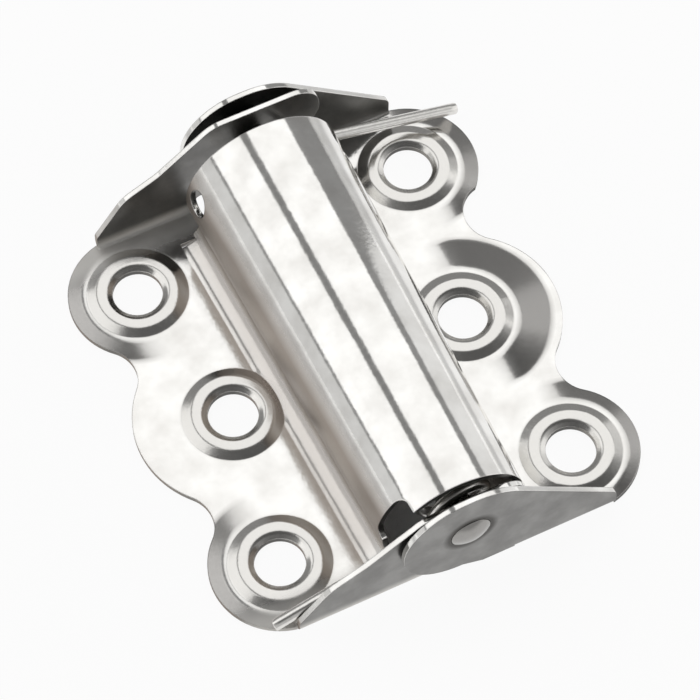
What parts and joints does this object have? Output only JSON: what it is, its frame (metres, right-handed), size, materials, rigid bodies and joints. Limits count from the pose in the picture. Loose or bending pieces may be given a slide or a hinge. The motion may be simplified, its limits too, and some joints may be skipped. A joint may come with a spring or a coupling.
{
  "type": "spring hinge",
  "caption": "Surface-mounted spring hinge of pressed sheet steel: two scalloped leaves with dished screw holes, folded ears, a riveted pin and a torsion spring in a flared barrel",
  "frame": {"origin": "centre of the footprint, on the plane of the leaves' backs, under the barrel", "axes": "+Z out of the mounting surface through the leaves to the barrel, +Y along the pin to the barrel's wide end, +X across to the leaf with the outside ears"},
  "size_m": [0.0646, 0.0729, 0.023],
  "materials": {
    "plated_sheet": "polished sheet steel with bright plating",
    "plated_pin": "bright plated steel, head riveted over",
    "spring_wire": "bright drawn spring wire"
  },
  "bodies": {
    "inner": {"inner_leaf": "plated_sheet", "torsion_spring": "spring_wire"},
    "outer": {"outer_leaf": "plated_sheet", "hinge_pin": "plated_pin"}
  },
  "joints": [
    {"name": "leaf_fold", "type": "hinge", "parent": "inner", "child": "outer", "pos_m": [0.0009, 0, 0.0116], "axis": [0, -1, 0], "range_deg": [0, 180], "stiffness_Nm_per_rad": 0.2, "springref_deg": -28.65, "deforming": ["torsion_spring"]}
  ]
}
